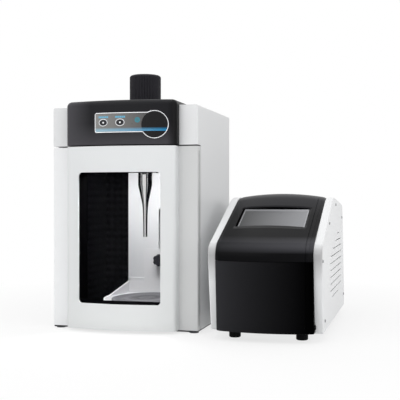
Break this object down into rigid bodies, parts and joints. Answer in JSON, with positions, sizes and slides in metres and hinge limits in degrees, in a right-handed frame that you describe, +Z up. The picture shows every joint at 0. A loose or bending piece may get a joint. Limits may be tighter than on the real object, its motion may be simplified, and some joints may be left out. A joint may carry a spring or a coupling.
{
  "type": "probe sonicator",
  "caption": "Probe sonicator set: bench sound enclosure with bowed windowed door, converter and stepped horn over a sample stage, beside a slant-front ultrasonic generator.",
  "frame": {"origin": "bottom centre of the set's bounding box, on the bench", "axes": "+Z up, +X to the right across the fronts, -Y out of the door and the screen towards the user"},
  "size_m": [0.6416, 0.5596, 0.612],
  "materials": {
    "white_enamel": "satin",
    "white_moulding": "satin",
    "back_sheet": "satin",
    "dark_base": "satin",
    "grey_guide": "satin",
    "foam": "matt",
    "black_hood": "satin",
    "black_knob": "satin",
    "gloss_black": "gloss",
    "label": "printed",
    "silver_ring": "polished",
    "key_dark": "satin",
    "pane": "clear",
    "gasket": "matt",
    "steel": "brushed",
    "pin_steel": "polished",
    "magnet": "matt",
    "alloy": "anodised",
    "horn_alloy": "mirror polish",
    "ceramic_discs": "matt",
    "board_green": "satin",
    "mat_grey": "matt",
    "stage_white": "satin",
    "foot_rubber": "matt",
    "foot_grey": "matt",
    "screen": "gloss",
    "module_case": "matt",
    "winding": "varnished",
    "fan_black": "matt",
    "inlet_black": "matt"
  },
  "bodies": {
    "enclosure": {"cabinet_shell": "white_enamel", "cabinet_back": "back_sheet", "base_plate": "dark_base", "chamber_ceiling": "dark_base", "foam_left": "foam", "foam_right": "foam", "foam_ceiling": "foam", "hinge_pin_upper": "pin_steel", "hinge_pin_lower": "pin_steel", "door_magnet": "magnet", "hood": "black_hood", "hood_label": "label", "button_bezels": "silver_ring", "control_board": "board_green", "converter_collar": "alloy", "guide_panel": "grey_guide", "rod_bracket_lower": "alloy", "rod_bracket_upper": "alloy", "guide_rod_left": "pin_steel", "guide_rod_right": "pin_steel", "cabinet_foot_front_left": "foot_grey", "cabinet_foot_front_right": "foot_grey", "cabinet_foot_rear_left": "foot_grey", "cabinet_foot_rear_right": "foot_grey"},
    "door": {"door_frame": "white_enamel", "door_panel": "white_moulding", "door_liner": "steel", "window_pane": "pane", "window_gasket": "gasket"},
    "button_left_key": {"button_left": "key_dark"},
    "button_right_key": {"button_right": "key_dark"},
    "converter": {"converter_housing": "alloy", "front_mass": "alloy", "piezo_stack": "ceramic_discs", "back_mass": "steel", "horn": "horn_alloy"},
    "cap": {"fluted_cap": "black_knob"},
    "sample_stage": {"stage": "stage_white", "stage_mat": "mat_grey", "carriage": "alloy"},
    "stage_clamp": {"clamp_knob": "black_knob"},
    "generator": {"generator_side_left": "white_moulding", "generator_side_right": "white_moulding", "generator_cover": "gloss_black", "generator_front": "gloss_black", "generator_tray": "steel", "generator_rear": "dark_base", "screen_glass": "screen", "screen_module": "module_case", "transformer": "winding", "power_board": "board_green", "fan_frame": "fan_black", "power_inlet": "inlet_black", "output_socket": "steel", "generator_foot_front_left": "foot_rubber", "generator_foot_front_right": "foot_rubber", "generator_foot_rear_left": "foot_rubber", "generator_foot_rear_right": "foot_rubber"},
    "fan": {"fan_rotor": "fan_black"},
    "rocker": {"rocker_switch": "key_dark"}
  },
  "joints": [
    {"name": "door_hinge", "type": "hinge", "parent": "enclosure", "child": "door", "pos_m": [-0.3118, -0.1703, 0.0065], "axis": [0, 0, -1], "range_deg": [0, 105]},
    {"name": "stage_lift", "type": "slide", "parent": "enclosure", "child": "sample_stage", "axis": [0, 0, 1], "range_m": [0, 0.11]},
    {"name": "clamp_turn", "type": "hinge", "parent": "sample_stage", "child": "stage_clamp", "pos_m": [-0.1438, 0.1007, 0.143], "axis": [0, 1, 0], "range_deg": [-180, 180]},
    {"name": "button_left_press", "type": "slide", "parent": "enclosure", "child": "button_left_key", "axis": [0.0691, 0.9976, 0], "range_m": [0, 0.0015], "stiffness_N_per_m": 800},
    {"name": "button_right_press", "type": "slide", "parent": "enclosure", "child": "button_right_key", "axis": [-0.0146, 0.9999, 0], "range_m": [0, 0.0015], "stiffness_N_per_m": 800},
    {"name": "converter_lift", "type": "slide", "parent": "enclosure", "child": "converter", "axis": [0, 0, 1], "range_m": [0, 0.33]},
    {"name": "cap_turn", "type": "hinge", "parent": "converter", "child": "cap", "pos_m": [-0.1438, -0.0313, 0.531], "axis": [0, 0, 1], "range_deg": [0, 60]},
    {"name": "generator_place", "type": "slide", "parent": "enclosure", "child": "generator", "axis": [1, 0, 0], "range_m": [0, 0.3]},
    {"name": "fan_spin", "type": "hinge", "parent": "generator", "child": "fan", "pos_m": [0.1525, 0.2137, 0.19], "axis": [0, 1, 0], "continuous": true},
    {"name": "power_rocker", "type": "hinge", "parent": "generator", "child": "rocker", "pos_m": [0.2525, 0.2117, 0.088], "axis": [1, 0, 0], "range_deg": [0, 22]}
  ]
}
